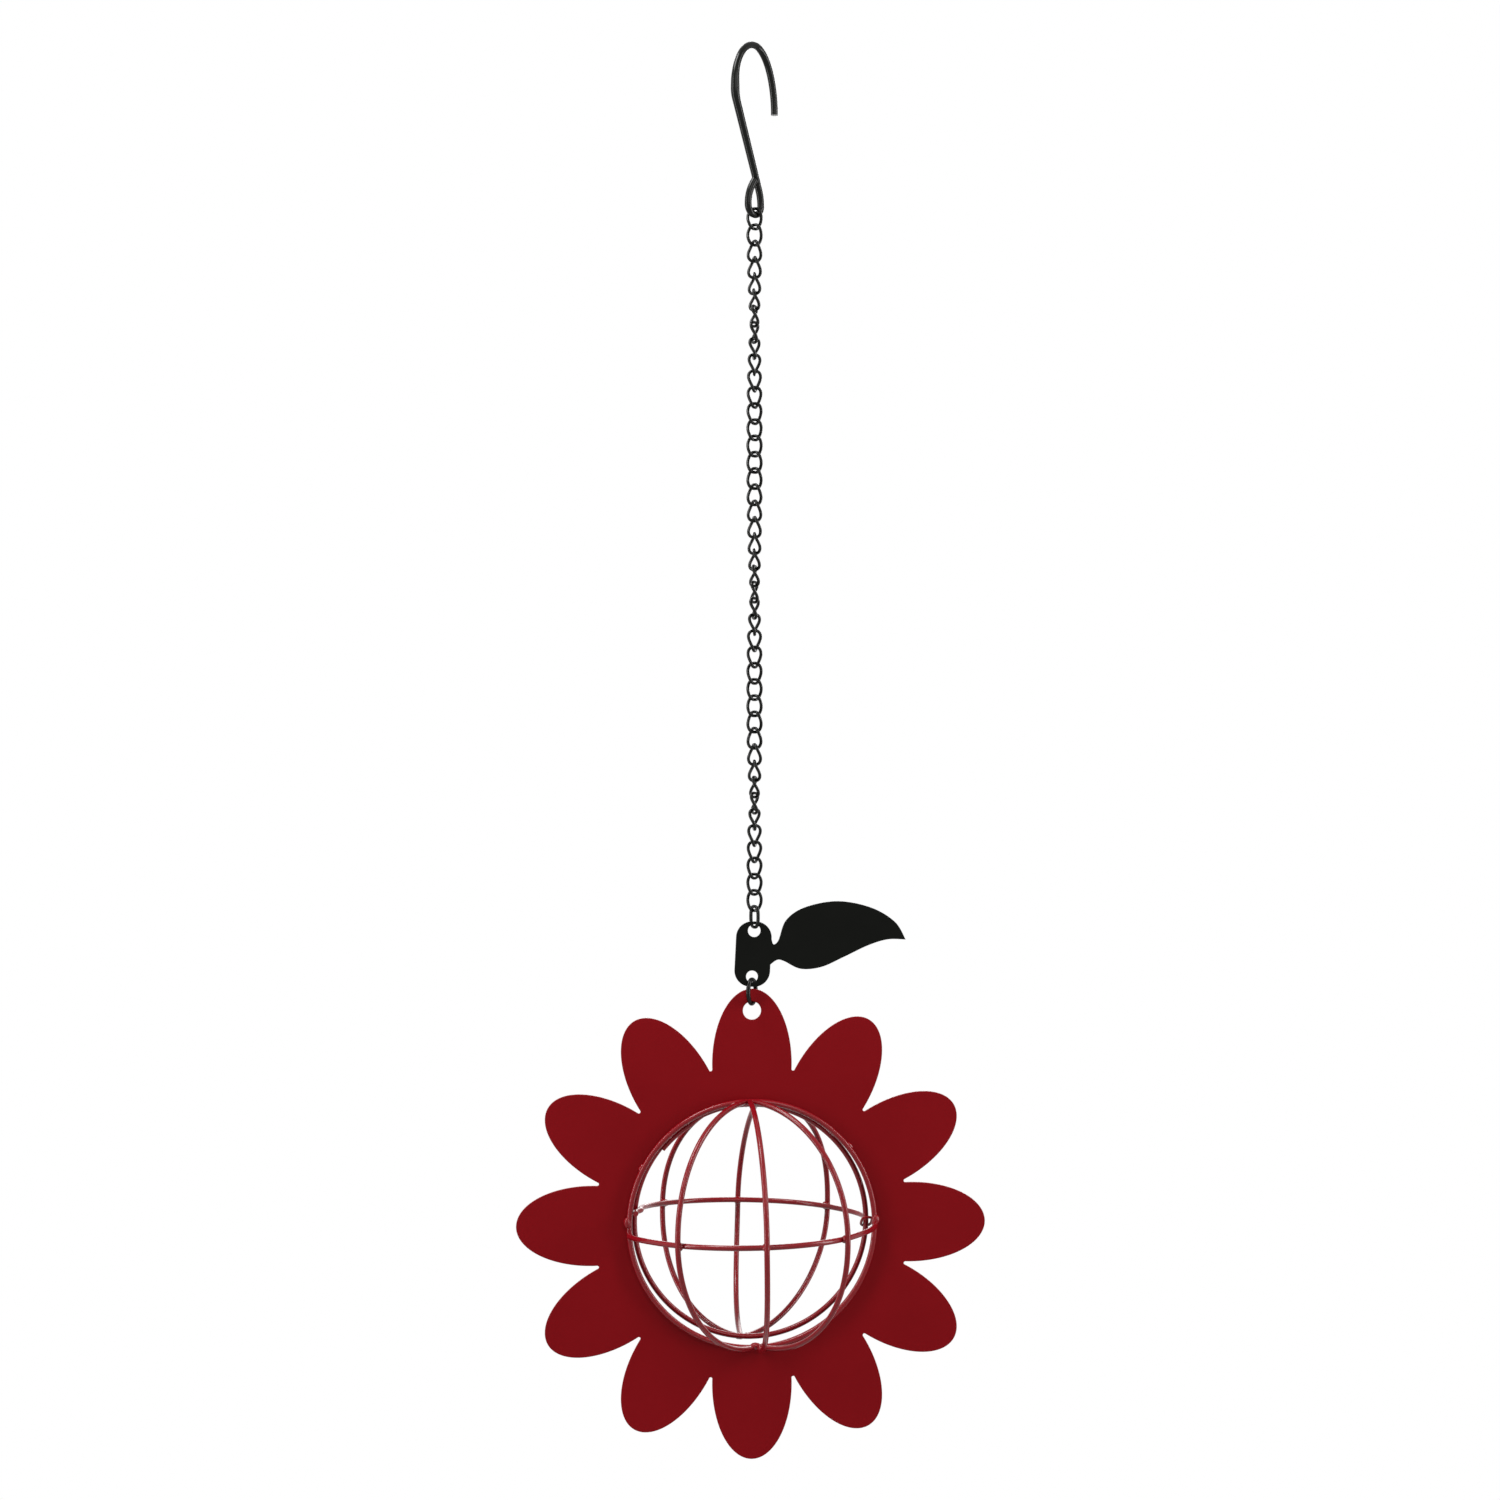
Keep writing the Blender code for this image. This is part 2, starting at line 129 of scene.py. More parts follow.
# The floor is a plain disc well below the feeder. It is paler to the eye than
# its light makes it, and fades into the white ground before its rim.
FLOOR_RADIUS = 1.0
FLOOR_BELOW = 0.35
FLOOR_PALING = 0.45
FADE_FROM = 0.30
FADE_TO = 0.92
bpy.ops.object.select_all(action="DESELECT")
bpy.ops.mesh.primitive_circle_add(
    vertices=96, radius=FLOOR_RADIUS, fill_type="NGON", location=(heart.x, 0.0, flower_low[2] - FLOOR_BELOW)
)
floor = bpy.context.object
floor.name = "studio_floor"
floor_paint = bpy.data.materials.new("matt_white_studio_paint")
floor_paint.use_nodes = True
paint = floor_paint.node_tree
floor_shader = paint.nodes["Principled BSDF"]
floor_shader.inputs["Base Color"].default_value = tint("#F4F4F4")
floor_shader.inputs["Roughness"].default_value = 0.9
floor_shader.inputs["Specular IOR Level"].default_value = 0.1
ray = add_node(paint, "ShaderNodeLightPath")
seen = add_node(
    paint, "ShaderNodeMath", feeds=[(0, ray.outputs["Is Camera Ray"]), (1, ray.outputs["Is Glossy Ray"])],
    operation="MAXIMUM",
)
glow = add_node(paint, "ShaderNodeEmission", [("Color", tint("#FFFFFF"))], [("Strength", seen.outputs[0])])
place = add_node(paint, "ShaderNodeTexCoord").outputs["Object"]
distance = add_node(paint, "ShaderNodeVectorMath", feeds=[(0, place)], operation="LENGTH")
fade = add_node(
    paint, "ShaderNodeMapRange", [("From Min", FADE_FROM), ("From Max", FADE_TO), ("To Min", FLOOR_PALING)],
    [("Value", distance.outputs["Value"])], interpolation_type="SMOOTHSTEP",
)
blend = add_node(
    paint, "ShaderNodeMixShader",
    feeds=[(0, fade.outputs["Result"]), (1, floor_shader.outputs[0]), (2, glow.outputs[0])],
)
paint.links.new(blend.outputs[0], paint.nodes["Material Output"].inputs["Surface"])
floor.data.materials.append(floor_paint)

# Hook. One length of 2.6 mm mild steel wire, bent cold in a single plane:
# an open bend at the top to hang by, a shoulder, and a closed eye below. Its
# two ends are cut off square. Black powder coat covers all of it.
HOOK_WIRE = 0.0026
HOOK_ARCH = 0.0150
HOOK_SHANK_OUT = 0.0106
HOOK_TIP_OUT = 0.0112
HOOK_TIP_DROP = 0.0232
HOOK_SHOULDER_RADIUS = 0.012
HOOK_SHANK_LEAN = math.radians(22)
HOOK_PLANE_TURN = math.radians(45)
EYE_DROP = 0.0612
EYE_RADIUS = 0.0035
EYE_SIDE_RADIUS = 0.016
TAIL_RADIUS = 0.0180
TAIL_SWEEP = math.radians(29.3)
TAIL_STEPS = 12
TAIL_FORWARD = 0.0014
SHOULDER_SWELLING = 0.26
SHOULDER_SPREAD = 0.006
SHANK_SIDE = -0.005
SMOOTHING_ANGLE = math.radians(50)


def arc(centre, radius, start, end, count):
    """Points on a circle's arc, both ends included."""
    angles = [start + (end - start) * step / (count - 1) for step in range(count)]
    return [(centre[0] + radius * math.cos(angle), centre[1] + radius * math.sin(angle)) for angle in angles]


def bend_wire(name, route, thickness, closed=False, swelling=None):
    """Bend round wire along a route, and break the edges of its cut ends. The
    swelling says how many times its thickness the wire has at each point."""
    edge_break = 0.12 * thickness
    bpy.ops.object.select_all(action="DESELECT")
    bpy.ops.curve.primitive_nurbs_path_add()
    wire = bpy.context.object
    wire.name = name
    wire.data.splines.clear()
    spline = wire.data.splines.new("POLY")
    spline.points.add(len(route) - 1)
    for point, place in zip(spline.points, route):
        point.co = (*place, 1.0)
    for point, factor in zip(spline.points, swelling or []):
        point.radius = factor
    spline.use_cyclic_u = closed
    wire.data.bevel_depth = thickness / 2
    wire.data.bevel_resolution = 6
    wire.data.use_fill_caps = True
    bpy.ops.object.convert(target="MESH")
    wire = bpy.context.object
    if not closed:
        bpy.ops.object.mode_set(mode="EDIT")
        bpy.ops.mesh.select_mode(type="FACE")
        bpy.ops.mesh.select_all(action="DESELECT")
        bpy.ops.mesh.select_face_by_sides(number=4, type="GREATER")
        bpy.ops.mesh.bevel(offset=edge_break, segments=3, affect="EDGES")
        bpy.ops.object.mode_set(mode="OBJECT")
    bpy.ops.object.shade_smooth_by_angle(angle=SMOOTHING_ANGLE)
    return wire


def settle(piece, location=(0.0, 0.0, 0.0), rotation=(0.0, 0.0, 0.0)):
    """Turn and move a piece to its place, and put the place in its mesh."""
    bpy.ops.object.select_all(action="DESELECT")
    piece.select_set(True)
    bpy.context.view_layer.objects.active = piece
    piece.location = location
    piece.rotation_euler = rotation
    bpy.ops.object.transform_apply(location=True, rotation=True, scale=True)


def coat(name, deep, pale, roughness, specular, cloud, peel, peel_height):
    """Baked powder coat: an even colour that clouds a little, under the fine
    orange peel of powder that flowed together in the oven. cloud and peel are
    their real sizes in metres, and peel_height is how deep the peel goes."""
    gloss_spread = 0.06
    material = bpy.data.materials.new(name)
    material.use_nodes = True
    tree = material.node_tree
    shader = tree.nodes["Principled BSDF"]
    place = add_node(tree, "ShaderNodeTexCoord").outputs["Object"]
    clouds = add_node(
        tree, "ShaderNodeTexNoise", [("Scale", 1 / cloud), ("Detail", 3.0), ("Roughness", 0.55)],
        [("Vector", place)],
    )
    colour = add_node(
        tree, "ShaderNodeMix", [(6, tint(deep)), (7, tint(pale))], [(0, clouds.outputs["Fac"])],
        data_type="RGBA",
    )
    tree.links.new(colour.outputs[2], shader.inputs["Base Color"])
    skin = add_node(
        tree, "ShaderNodeTexNoise", [("Scale", 1 / peel), ("Detail", 2.0), ("Roughness", 0.5)],
        [("Vector", place)],
    )
    relief = add_node(
        tree, "ShaderNodeBump", [("Strength", 1.0), ("Distance", peel_height)],
        [("Height", skin.outputs["Fac"])],
    )
    tree.links.new(relief.outputs["Normal"], shader.inputs["Normal"])
    gloss = add_node(
        tree, "ShaderNodeMapRange",
        [("To Min", roughness - gloss_spread), ("To Max", roughness + gloss_spread)],
        [("Value", clouds.outputs["Fac"])],
    )
    tree.links.new(gloss.outputs["Result"], shader.inputs["Roughness"])
    shader.inputs["Specular IOR Level"].default_value = specular
    return material


# Satin black polyester powder coat, which reads as a soft near-black
black_coat = coat(
    "satin_black_powder_coat", "#030402", "#080906", roughness=0.32, specular=0.08,
    cloud=0.012, peel=0.0014, peel_height=0.000004,
)
# The same coat on round wire, where it is glossier and catches the light
black_wire_coat = coat(
    "black_powder_coat_on_wire", "#020301", "#060704", roughness=0.20, specular=0.17,
    cloud=0.012, peel=0.0014, peel_height=0.000001,
)

# The bend is higher on its shank side than on its open side, and the tail
# closes the eye against the shank
lean = HOOK_SHANK_LEAN
shoulder_radius = HOOK_SHOULDER_RADIUS
eye_z = HOOK_WIRE / 2 - EYE_DROP + EYE_RADIUS
side_x = EYE_RADIUS - EYE_SIDE_RADIUS
tail_x = TAIL_RADIUS - EYE_RADIUS
shoulder_x = shoulder_radius - HOOK_SHANK_OUT
shank = (side_x + EYE_SIDE_RADIUS * math.cos(lean), eye_z + EYE_SIDE_RADIUS * math.sin(lean))
shank_drop = (shank[0] - shoulder_x + shoulder_radius * math.cos(lean)) / math.tan(lean)
shoulder_z = shank[1] + shank_drop + shoulder_radius * math.sin(lean)
tip_side = arc((0.0, 0.0), 1.0, 0.0, math.pi / 2, count=33)
shank_side = arc((0.0, 0.0), 1.0, math.pi / 2, math.pi, count=29)[1:]
route = [(HOOK_TIP_OUT * x, HOOK_WIRE / 2 - HOOK_TIP_DROP * (1 - z)) for x, z in tip_side]
route += [(HOOK_SHANK_OUT * x, HOOK_WIRE / 2 - HOOK_ARCH * (1 - z)) for x, z in shank_side]
route += arc((shoulder_x, shoulder_z), shoulder_radius, math.pi, math.pi + lean, count=13)
route += arc((side_x, eye_z), EYE_SIDE_RADIUS, lean, 0.0, count=9)
route += arc((0.0, eye_z), EYE_RADIUS, 0.0, -math.pi, count=41)[1:]
tail_start = len(route)
route += arc((tail_x, eye_z), TAIL_RADIUS, math.pi, math.pi - TAIL_SWEEP, count=TAIL_STEPS + 1)[1:]
# The tail's end is bent a little forward, where it lies against the shank
hook_route = []
for step, (x, z) in enumerate(route):
    hook_route.append((x, -TAIL_FORWARD * max(0, step - tail_start) ** 2 / TAIL_STEPS ** 2, z))
# The bending tool pressed the shoulder wider
swelling = []
for x, z in route:
    pressed = SHOULDER_SWELLING * math.exp(-((z - shoulder_z) / SHOULDER_SPREAD) ** 2)
    swelling.append(1 + pressed * (x < SHANK_SIDE))
hook = bend_wire("bent_hook", hook_route, HOOK_WIRE, swelling=swelling)
settle(hook, rotation=(0.0, 0.0, HOOK_PLANE_TURN))
hook.data.materials.append(black_wire_coat)
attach(hook, "hook")
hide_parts("hook")

# Chain. Forty-four wire links, each closed round the one above it. All but
# the last are curb links, one bow twisted from the other so that the chain
# lies round. The last is left flat, of slightly thicker wire.
LINK_COUNT = 44
LINK_PITCH = 0.00587
LINK_WIRE = 0.00115
LINK_WIDTH = 0.0060
LINK_ROUNDNESS = 2.7
LINK_TWIST = math.radians(66)
END_WIRE = 0.0013
CHAIN_TOP = -0.05845
GAP = 0.0003
half_width = (LINK_WIDTH - LINK_WIRE) / 2
half_length = (LINK_PITCH + LINK_WIRE + GAP) / 2
end_half_length = half_length + (END_WIRE - LINK_WIRE) / 2


def oval(half_across, half_along, fullness, count):
    """Points round an oval, fuller in its corners as fullness grows."""
    points = []
    for step in range(count):
        angle = math.tau * step / count
        across = math.copysign(abs(math.cos(angle)) ** (2 / fullness), math.cos(angle))
        along = math.copysign(abs(math.sin(angle)) ** (2 / fullness), math.sin(angle))
        points.append((half_across * across, half_along * along))
    return points


def link_route(twist, half_height):
    """A link's wire, hung from its upper crossing, with one bow twisted
    against the other."""
    route = []
    for across, along in oval(half_width, half_height, LINK_ROUNDNESS, count=64):
        turn = -twist / 2 * math.sin(math.pi / 2 * along / half_height)
        route.append((across * math.cos(turn), across * math.sin(turn), along - LINK_PITCH / 2))
    return route


# The chain hangs with a slow turn of its own. These links' turns in degrees
# were judged, and the links between them share the turn evenly.
CHAIN_TURNS = [
    (1, 3), (2, -6), (3, -36), (5, -60), (7, -86), (9, -118), (11, -143), (13, -165), (15, -181),
    (17, -197), (19, -218), (22, -247), (24, -272), (26, -304), (27, -324), (29, -349), (31, -369),
    (33, -390), (35, -420), (37, -460), (39, -498), (41, -523), (43, -541), (44, -62),
]


def chain_turn(number):
    """A link's turn, from the two links of the table that it lies between."""
    for (above, turn_above), (below, turn_below) in zip(CHAIN_TURNS, CHAIN_TURNS[1:]):
        if number < below:
            break
    if number == LINK_COUNT:
        return turn_below
    return turn_above + (turn_below - turn_above) * (number - above) / (below - above)


curb_link = bend_wire("curb_link", link_route(LINK_TWIST, half_length), LINK_WIRE, closed=True)
curb_link.data.materials.append(black_wire_coat)
flat_link = bend_wire("flat_link", link_route(0.0, end_half_length), END_WIRE, closed=True)
flat_link.data.materials.append(black_wire_coat)
for number in range(1, LINK_COUNT + 1):
    pattern = flat_link if number == LINK_COUNT else curb_link
    bpy.ops.object.select_all(action="DESELECT")
    pattern.select_set(True)
    bpy.context.view_layer.objects.active = pattern
    bpy.ops.object.duplicate()
    link = bpy.context.object
    link.name = f"chain_wire_link_{number:02d}"
    hang = (0.0, 0.0, CHAIN_TOP - LINK_PITCH * (number - 1))
    settle(link, hang, (0.0, 0.0, math.radians(chain_turn(number))))
    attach(link, f"chain_link_{number:02d}")
    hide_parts(f"chain_link_{number:02d}")
bpy.data.objects.remove(curb_link, do_unlink=True)
bpy.data.objects.remove(flat_link, do_unlink=True)

# Leaf plate. Laser-cut from 1 mm mild steel sheet: a tab with a hole at each
# end and one long leaf on its right, which weighs it down a little on that
# side. The coat is the hook's black.
SHEET = 0.0010
TAB_WIDTH = 0.0129
TAB_CORNER = 0.0058
TAB_HOLE = 0.0045
TAB_LOWER_HOLE = 0.0042
HOLE_EASE = 0.0001
TAB_HOLE_SPAN = 0.0166
TAB_UPPER_RIM = 0.0011
TAB_LOWER_RIM = 0.0016
LEAF_TILT = math.radians(2.86)
NECK_DROP = 0.0046
NECK_HEIGHT = 0.0056
NECK_REACH = 0.0016
NECK_CORNER = 0.0018
LEAF_LENGTH = 0.0472
LEAF_HEIGHT = 0.0251
LEAF_UPPER_SHARES = [(0.02, 0.31), (0.07, 0.60), (0.21, 0.80), (0.46, 0.91), (0.72, 0.84), (0.91, 0.65)]
LEAF_TIP_SHARES = (1.0, 0.40)
LEAF_LOWER_SHARES = [(0.86, 0.39), (0.71, 0.29), (0.53, 0.11), (0.36, -0.05), (0.20, -0.09), (0.07, 0.01)]


def cut_sheet(name, outlines, thickness):
    """Cut a flat sheet to an outline and its holes, with its edges rounded as
    the coat leaves them."""
    rounding = 0.22 * thickness
    merge_distance = 0.00001
    bpy.ops.object.select_all(action="DESELECT")
    bpy.ops.curve.primitive_bezier_circle_add()
    sheet = bpy.context.object
    sheet.name = name
    sheet.data.splines.clear()
    sheet.data.dimensions = "2D"
    sheet.data.fill_mode = "BOTH"
    for outline in outlines:
        spline = sheet.data.splines.new("POLY")
        spline.points.add(len(outline) - 1)
        for point, (x, z) in zip(spline.points, outline):
            point.co = (x, z, 0.0, 1.0)
        spline.use_cyclic_u = True
    sheet.data.extrude = thickness / 2 - rounding
    sheet.data.bevel_depth = rounding
    sheet.data.bevel_resolution = 2
    sheet.data.offset = -rounding
    bpy.ops.object.convert(target="MESH")
    sheet = bpy.context.object
    bpy.ops.object.mode_set(mode="EDIT")
    bpy.ops.mesh.select_all(action="SELECT")
    bpy.ops.mesh.remove_doubles(threshold=merge_distance)
    bpy.ops.mesh.normals_make_consistent(inside=False)
    bpy.ops.object.mode_set(mode="OBJECT")
    bpy.ops.object.shade_smooth_by_angle(angle=SMOOTHING_ANGLE)
    bpy.ops.object.modifier_add(type="WEIGHTED_NORMAL")
    sheet.modifiers[-1].keep_sharp = True
    sheet.modifiers[-1].weight = 100
    bpy.ops.object.modifier_apply(modifier=sheet.modifiers[-1].name)
    return sheet


def smooth(points, steps):
    """Points on the smooth curve that passes through the given ones."""
    curve = []
    last = len(points) - 1
    for index in range(last):
        before, start = points[max(index - 1, 0)], points[index]
        end, after = points[index + 1], points[min(index + 2, last)]
        for step in range(steps):
            t = step / steps
            point = []
            for p, q, r, s in zip(before, start, end, after):
                bow = 2 * p - 5 * q + 4 * r - s
                wave = 3 * q - p - 3 * r + s
                point.append((2 * q + (r - p) * t + bow * t ** 2 + wave * t ** 3) / 2)
            curve.append(tuple(point))
    curve.append(points[last])
    return curve


tab = TAB_WIDTH / 2
upper = (0.0, GAP - (TAB_HOLE + GAP) / 2)
lower = (0.0, upper[1] - TAB_HOLE_SPAN)
tab_top = upper[1] + TAB_HOLE / 2 + TAB_UPPER_RIM
tab_bottom = lower[1] - TAB_LOWER_HOLE / 2 - TAB_LOWER_RIM
neck_top = upper[1] - NECK_DROP
neck_bottom = neck_top - NECK_HEIGHT
leaf_start = tab + NECK_REACH
leaf_base = neck_top - LEAF_HEIGHT * LEAF_UPPER_SHARES[0][1] + NECK_REACH


def leaf_point(share):
    """A point of the leaf's outline, from its shares of length and height."""
    return leaf_start + LEAF_LENGTH * share[0], leaf_base + LEAF_HEIGHT * share[1]


tip = leaf_point(LEAF_TIP_SHARES)
above = [(tab, neck_top + NECK_CORNER), (tab + NECK_REACH / 2, neck_top)]
above += [leaf_point(share) for share in LEAF_UPPER_SHARES]
below = [leaf_point(share) for share in LEAF_LOWER_SHARES]
below += [(leaf_start + NECK_REACH / 2, neck_bottom), (tab, neck_bottom - NECK_CORNER)]
edge = []
for across, along, turn in [
    (tab - TAB_CORNER, tab_bottom + TAB_CORNER, 0.0),
    (TAB_CORNER - tab, tab_bottom + TAB_CORNER, -math.pi / 2),
    (TAB_CORNER - tab, tab_top - TAB_CORNER, math.pi),
    (tab - TAB_CORNER, tab_top - TAB_CORNER, math.pi / 2),
]:
    edge += arc((across, along), TAB_CORNER, turn, turn - math.pi / 2, count=20)
edge += smooth(above + [tip], steps=10)
edge += smooth([tip] + below, steps=10)[1:]
# Both holes are eased, so that the last link and the jump ring swing clear
upper_hole = arc(upper, (TAB_HOLE + HOLE_EASE) / 2, 0.0, math.tau, count=49)[:-1]
lower_hole = arc(lower, (TAB_LOWER_HOLE + HOLE_EASE) / 2, 0.0, math.tau, count=49)[:-1]
leaf = cut_sheet("leaf_sheet", [edge, upper_hole, lower_hole], SHEET)
leaf_pivot = CHAIN_TOP - LINK_PITCH * LINK_COUNT
settle(leaf, (0.0, 0.0, leaf_pivot), (math.pi / 2, LEAF_TILT, 0.0))
leaf.data.materials.append(black_coat)
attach(leaf, "leaf")
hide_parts("leaf_plate")

# Jump ring. A short oval of 1.6 mm wire, closed through the leaf plate's
# lower hole and the flower's hanging hole and coated black with the chain.
JUMP_WIRE = 0.0016
JUMP_INNER_LENGTH = 0.0072
JUMP_INNER_WIDTH = 0.0046
JUMP_TURN = math.radians(-30)
jump_low, jump_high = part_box("jump_ring")
jump_middle = (Vector(jump_low) + Vector(jump_high)) / 2
jump_oval = oval((JUMP_INNER_WIDTH + JUMP_WIRE) / 2, (JUMP_INNER_LENGTH + JUMP_WIRE) / 2, 2.0, count=64)
jump_ring = bend_wire("closed_jump_ring", [(0.0, y, z) for y, z in jump_oval], JUMP_WIRE, closed=True)
settle(jump_ring, jump_middle, (0.0, 0.0, JUMP_TURN))
jump_ring.data.materials.append(black_wire_coat)
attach(jump_ring, "jump_ring")
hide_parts("jump_ring")

# Flower plate. Laser-cut from 1 mm mild steel sheet: twelve round petals, a
# large hole at the heart for the cage and a small one to hang by, finished in
# a deep red powder coat.
HEART_HOLE_RADIUS = 0.0438
PETAL_COUNT = 12
PETAL_CENTRE_OUT = 0.0141
PETAL_LENGTH = 0.0542
PETAL_SLOT = 0.0022
PETAL_SWEEP = math.radians(94)
PETAL_STEPS = 48
ROOT_STEPS = 10
HANGING_HOLE = 0.0066
HANGING_HOLE_RIM = 0.0046
petal_out = HEART_HOLE_RADIUS + PETAL_CENTRE_OUT
spacing = math.tau / PETAL_COUNT
petal_side = petal_out * math.tan(spacing / 2) - PETAL_SLOT / 2
edge = []
for petal in range(PETAL_COUNT):
    heading = math.pi / 2 - spacing * petal
    along = Vector((math.cos(heading), math.sin(heading)))
    across = Vector((along.y, -along.x))
    for step in range(PETAL_STEPS + 1):
        sweep = PETAL_SWEEP * (2 * step / PETAL_STEPS - 1)
        out = petal_out + PETAL_LENGTH / 2 * math.cos(sweep)
        side = petal_side * math.sin(sweep)
        edge.append(tuple(out * along + side * across))
    # The slot between two petals ends in a half-round root
    root_radius = out * math.sin(spacing / 2) - side * math.cos(spacing / 2)
    root_out = out * math.cos(spacing / 2) + side * math.sin(spacing / 2)
    middle = heading - spacing / 2
    for step in range(1, ROOT_STEPS):
        angle = math.pi / 2 + math.pi * step / ROOT_STEPS
        inward = root_out + root_radius * math.cos(angle)
        sideways = -root_radius * math.sin(angle)
        edge.append((
            inward * math.cos(middle) + sideways * math.sin(middle),
            inward * math.sin(middle) - sideways * math.cos(middle),
        ))
hanging = (0.0, petal_out + PETAL_LENGTH / 2 - HANGING_HOLE_RIM - HANGING_HOLE / 2)
heart_hole = arc((0.0, 0.0), HEART_HOLE_RADIUS, 0.0, math.tau, count=181)[:-1]
hanging_hole = arc(hanging, HANGING_HOLE / 2, 0.0, math.tau, count=61)[:-1]
flower = cut_sheet("flower_sheet", [edge, heart_hole, hanging_hole], SHEET)
settle(flower, heart, (math.pi / 2, 0.0, 0.0))
# Deep red polyester powder coat, which reads as an even satin red
red_coat = coat(
    "satin_red_powder_coat", "#72050C", "#7C0911", roughness=0.40, specular=0.09,
    cloud=0.03, peel=0.0016, peel_height=0.00002,
)
flower.data.materials.append(red_coat)
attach(flower, "flower")
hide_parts("flower_plate")

# Front half of the cage. A ring of 2 mm wire is welded to the flower round
# its hole. Three half-round ribs butt against the ring at the top and bottom,
# and a level bar inside them joins the ring at the left and right.
CAGE_WIRE = 0.0020
FRONT_RADIUS = 0.0444
FRONT_SIDE = -1
RIB_END_OUT = 0.0006
STEP_POWER = 1.5
BAR_FLARE_START = math.radians(55)
CROSSING_WELD = 0.0015
WELD_GRAIN = 0.0012
RING_WELD_STRETCH = 1.6
front = heart + Vector((0.0, -SHEET / 2 - GAP - CAGE_WIRE / 2, 0.0))
# The same red coat on round wire, where it is glossier and catches the light. Its base colour is a touch
# lighter than the sheet's, a painted highlight for the light that the wires catch.
wire_coat = coat(
    "red_powder_coat_on_wire", "#740610", "#800C16", roughness=0.19, specular=0.27,
    cloud=0.02, peel=0.0014, peel_height=0.000001,
)


def wire_ring(radius, count):
    """Points round a cage ring."""
    return [(x, 0.0, z) for x, z in arc((0.0, 0.0), radius, 0.0, math.tau, count + 1)[:-1]]


def rib(radius, side, azimuth, top_step, bottom_step):
    """A half-round rib from pole to pole, its ends sunk in the ring. side is -1
    in front of the ring and 1 behind it. The steps set its ends apart
    sideways."""
    reach = math.acos(RIB_END_OUT / radius / math.cos(azimuth))
    pieces = 80
    points = []
    for piece in range(pieces + 1):
        latitude = reach * (2 * piece / pieces - 1)
        pole_step = top_step if latitude > 0 else bottom_step
        out = radius * math.cos(latitude)
        x = out * math.sin(azimuth) + pole_step * abs(math.sin(latitude)) ** STEP_POWER
        points.append((x, side * out * math.cos(azimuth), radius * math.sin(latitude)))
    return points


def crossbar(radius, side, left_rise, right_rise, right_side_only):
    """A half-round level bar inside the ribs that flares out to its ring, its
    ends bent up or down by their rises."""
    inside = radius - CAGE_WIRE - GAP
    pieces = 80
    points = []
    for piece in range(pieces + 1):
        heading = math.pi / 2 * (2 * piece / pieces - 1)
        flare = max(0.0, (abs(heading) - BAR_FLARE_START) / (math.pi / 2 - BAR_FLARE_START))
        if right_side_only and heading < 0:
            flare = 0.0
        out = inside + (radius - inside) * flare ** 2 * (3 - 2 * flare)
        share = 0.5 + heading / math.pi
        height = left_rise * (1 - share) ** 3 + right_rise * share ** 3
        points.append((out * math.sin(heading), side * out * math.cos(heading), height))
    return points


def weld(place, size, heading=0.0, stretch=1.0):
    """A weld: a small drop of metal with an uneven skin, drawn out along the
    ring at a heading."""
    unevenness = 0.5 * size
    bpy.ops.object.select_all(action="DESELECT")
    bpy.ops.mesh.primitive_ico_sphere_add(
        subdivisions=3, radius=size, location=place, rotation=(0.0, -heading, 0.0), scale=(1.0, 1.0, stretch)
    )
    drop = bpy.context.object
    bpy.ops.object.transform_apply(location=True, rotation=True, scale=True)
    bpy.ops.object.modifier_add(type="DISPLACE")
    drop.modifiers[-1].texture = weld_skin
    drop.modifiers[-1].strength = unevenness
    bpy.ops.object.modifier_apply(modifier=drop.modifiers[-1].name)
    bpy.ops.object.shade_smooth()
    return drop


def meeting(route, other):
    """The middle of the gap between two wires where they pass closest."""
    nearest = min(((Vector(a) - Vector(b)).length, index, step)
                  for index, a in enumerate(route) for step, b in enumerate(other))
    return (Vector(route[nearest[1]]) + Vector(other[nearest[2]])) / 2


def fuse(piece, additions):
    """Make a piece and what is welded to it one mesh."""
    bpy.ops.object.select_all(action="DESELECT")
    for addition in additions:
        addition.select_set(True)
    piece.select_set(True)
    bpy.context.view_layer.objects.active = piece
    bpy.ops.object.join()


weld_skin = bpy.data.textures.new("weld_skin", "CLOUDS")
weld_skin.noise_scale = WELD_GRAIN
# Azimuth in degrees, and the sideways steps of the rib's top and bottom ends
front_ribs = {}
for node, azimuth, top_step, bottom_step in [
    ("front_rib_left", -40, -0.0018, 0.0010), ("front_rib_centre", 2.2, -0.0010, 0.0023),
    ("front_rib_right", 44.5, -0.0005, 0.0036),
]:
    front_ribs[node] = rib(FRONT_RADIUS, FRONT_SIDE, math.radians(azimuth), top_step, bottom_step)
front_bar = crossbar(
    FRONT_RADIUS, FRONT_SIDE, left_rise=-0.0034, right_rise=-0.0002, right_side_only=False
)
front_pieces = {
    "front_ring": bend_wire("front_ring_wire", wire_ring(FRONT_RADIUS, count=160), CAGE_WIRE, closed=True),
    "front_rib_left": bend_wire("front_left_wire", front_ribs["front_rib_left"], CAGE_WIRE),
    "front_rib_centre": bend_wire("front_centre_wire", front_ribs["front_rib_centre"], CAGE_WIRE),
    "front_rib_right": bend_wire("front_right_wire", front_ribs["front_rib_right"], CAGE_WIRE),
    "front_crossbar": bend_wire("front_level_wire", front_bar, CAGE_WIRE),
}
for node, route in front_ribs.items():
    fuse(front_pieces[node], [weld(meeting(route, front_bar), CROSSING_WELD)])
